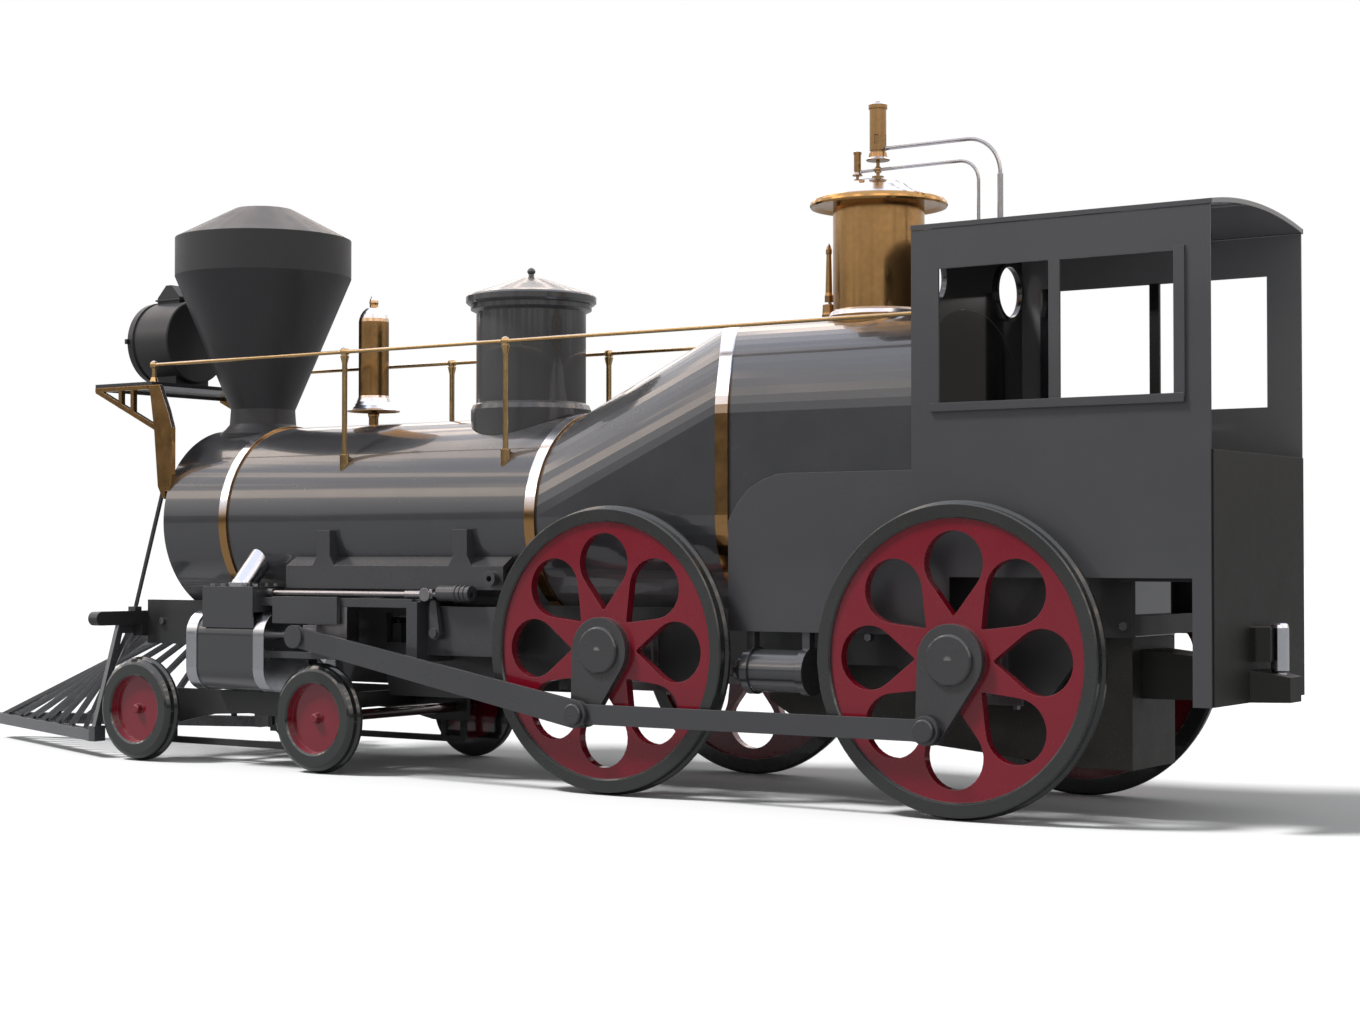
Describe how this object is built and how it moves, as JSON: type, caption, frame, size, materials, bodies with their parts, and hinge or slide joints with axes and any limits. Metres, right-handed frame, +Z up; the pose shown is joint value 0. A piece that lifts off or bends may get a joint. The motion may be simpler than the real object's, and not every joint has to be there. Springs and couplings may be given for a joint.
{
  "type": "live steam locomotive",
  "caption": "American-type 4-4-0 live steam locomotive for 184 mm gauge, with diamond chimney, domed wagon-top boiler, open cab, pilot and side rods.",
  "frame": {"origin": "centre of the bounding box in plan, on the plane through the lowest points of the wheel flanges", "axes": "+X forwards along the boiler, +Y to the locomotive's left, +Z up"},
  "size_m": [1.176, 0.227, 0.464],
  "materials": {
    "paint": "gloss",
    "wheel_red": "satin",
    "brass": "polished",
    "polished": "polished",
    "steel": "satin",
    "copper": "satin",
    "iron": "matte"
  },
  "bodies": {
    "engine": {"frame_plates": "paint", "frame_stretchers": "iron", "axle_boxes": "steel", "rear_beam": "paint", "pilot_beam": "paint", "pilot": "paint", "boiler_barrel": "paint", "wagon_top": "paint", "firebox_wrapper": "paint", "boiler_bands": "brass", "boiler_tubes": "copper", "inner_firebox": "copper", "ashpan": "iron", "stack": "paint", "sand_dome": "paint", "sand_dome_lid": "paint", "steam_dome": "brass", "steam_dome_cap": "polished", "whistles": "brass", "whistle_pipes": "polished", "safety_valve": "brass", "bell": "brass", "headlamp_body": "paint", "lamp_shelf": "paint", "lamp_brackets": "brass", "handrails": "brass", "smokebox_braces": "paint", "cylinders": "paint", "cylinder_covers": "polished", "steam_chests": "paint", "steam_pipes": "polished", "guide_bars": "steel", "running_boards": "paint", "cab_walls": "paint", "cab_roof": "paint", "air_cylinders": "paint", "fasteners": "steel"},
    "leading_wheelset": {"front_drivers": "wheel_red", "front_axle": "steel"},
    "trailing_wheelset": {"rear_drivers": "wheel_red", "rear_axle": "steel"},
    "coupling_rod_l": {"coupling_rod_left": "paint"},
    "coupling_rod_r": {"coupling_rod_right": "paint"},
    "main_rod_l": {"main_rod_left": "paint"},
    "main_rod_r": {"main_rod_right": "paint"},
    "crosshead_l": {"crosshead_left": "steel"},
    "crosshead_r": {"crosshead_right": "steel"},
    "valve_rod_l": {"valve_rod_left": "polished"},
    "valve_rod_r": {"valve_rod_right": "polished"},
    "rocker_l": {"rocker_left": "paint"},
    "rocker_r": {"rocker_right": "paint"},
    "truck": {"truck_frame": "paint"},
    "truck_wheelset_front": {"truck_wheels_front": "wheel_red"},
    "truck_wheelset_rear": {"truck_wheels_rear": "wheel_red"},
    "smokebox_door": {"smokebox_door": "paint"},
    "headlamp_door": {"headlamp_door": "brass"},
    "drawbar_pin": {"drawbar_pin": "steel"},
    "throttle": {"throttle_lever": "steel"},
    "reverser": {"reverse_lever": "steel"},
    "fire_door": {"fire_door": "iron"}
  },
  "joints": [
    {"name": "driver_spin", "type": "hinge", "parent": "engine", "child": "leading_wheelset", "pos_m": [-0.147, 0, 0.097], "axis": [0, 1, 0], "continuous": true},
    {"name": "rear_driver_spin", "type": "hinge", "parent": "engine", "child": "trailing_wheelset", "pos_m": [-0.4099, 0, 0.097], "axis": [0, 1, 0], "continuous": true},
    {"name": "coupling_rod_left_pin", "type": "hinge", "parent": "leading_wheelset", "child": "coupling_rod_l", "pos_m": [-0.1331, 0.1059, 0.0544], "axis": [0, 1, 0], "continuous": true},
    {"name": "coupling_rod_right_pin", "type": "hinge", "parent": "leading_wheelset", "child": "coupling_rod_r", "pos_m": [-0.1896, -0.1059, 0.0831], "axis": [0, 1, 0], "continuous": true},
    {"name": "main_rod_left_pin", "type": "hinge", "parent": "coupling_rod_l", "child": "main_rod_l", "pos_m": [-0.1331, 0.1093, 0.0544], "axis": [0, 1, 0], "range_deg": [-0.5, 19.34]},
    {"name": "main_rod_right_pin", "type": "hinge", "parent": "coupling_rod_r", "child": "main_rod_r", "pos_m": [-0.1896, -0.1093, 0.0831], "axis": [0, 1, 0], "range_deg": [-6.87, 12.97]},
    {"name": "crosshead_left_slide", "type": "slide", "parent": "engine", "child": "crosshead_l", "axis": [1, 0, 0], "range_m": [-0.05454, 0.03509]},
    {"name": "crosshead_right_slide", "type": "slide", "parent": "engine", "child": "crosshead_r", "axis": [1, 0, 0], "range_m": [-0.00163, 0.088]},
    {"name": "valve_rod_left_slide", "type": "slide", "parent": "engine", "child": "valve_rod_l", "axis": [1, 0, 0], "range_m": [-0.004, 0.004]},
    {"name": "valve_rod_right_slide", "type": "slide", "parent": "engine", "child": "valve_rod_r", "axis": [1, 0, 0], "range_m": [-0.004, 0.004]},
    {"name": "rocker_left_pivot", "type": "hinge", "parent": "engine", "child": "rocker_l", "pos_m": [0.01, 0.084, 0.105], "axis": [0, 1, 0], "range_deg": [-9, 9]},
    {"name": "rocker_right_pivot", "type": "hinge", "parent": "engine", "child": "rocker_r", "pos_m": [0.01, -0.084, 0.105], "axis": [0, 1, 0], "range_deg": [-9, 9]},
    {"name": "truck_swivel", "type": "hinge", "parent": "engine", "child": "truck", "pos_m": [0.213, 0, 0.046], "axis": [0, 0, 1], "range_deg": [-3, 3]},
    {"name": "truck_front_spin", "type": "hinge", "parent": "truck", "child": "truck_wheelset_front", "pos_m": [0.3081, 0, 0.04056], "axis": [0, 1, 0], "continuous": true},
    {"name": "truck_rear_spin", "type": "hinge", "parent": "truck", "child": "truck_wheelset_rear", "pos_m": [0.1178, 0, 0.04056], "axis": [0, 1, 0], "continuous": true},
    {"name": "smokebox_door_hinge", "type": "hinge", "parent": "engine", "child": "smokebox_door", "pos_m": [0.3055, -0.0572, 0.187], "axis": [0, 0, 1], "range_deg": [-90, 0]},
    {"name": "headlamp_door_hinge", "type": "hinge", "parent": "engine", "child": "headlamp_door", "pos_m": [0.386, -0.0362, 0.337], "axis": [0, 0, 1], "range_deg": [-110, 0]},
    {"name": "drawbar_pin_lift", "type": "slide", "parent": "engine", "child": "drawbar_pin", "axis": [0, 0, 1], "range_m": [0, 0.03]},
    {"name": "throttle_turn", "type": "hinge", "parent": "engine", "child": "throttle", "pos_m": [-0.503, 0, 0.238], "axis": [1, 0, 0], "range_deg": [-10, 45]},
    {"name": "reverser_swing", "type": "hinge", "parent": "engine", "child": "reverser", "pos_m": [-0.483, -0.058, 0.131], "axis": [0, 1, 0], "range_deg": [-16, 16]},
    {"name": "fire_door_hinge", "type": "hinge", "parent": "engine", "child": "fire_door", "pos_m": [-0.5004, 0.0245, 0.206], "axis": [0, 0, 1], "range_deg": [-100, 0]}
  ],
  "couplings": [
    {"joint": "rear_driver_spin", "follows": "driver_spin", "ratio": 1},
    {"joint": "coupling_rod_left_pin", "follows": "driver_spin", "ratio": -1},
    {"joint": "coupling_rod_right_pin", "follows": "driver_spin", "ratio": -1},
    {"joint": "rocker_left_pivot", "follows": "valve_rod_left_slide", "rad_per_m": 35},
    {"joint": "rocker_right_pivot", "follows": "valve_rod_right_slide", "rad_per_m": 35}
  ]
}
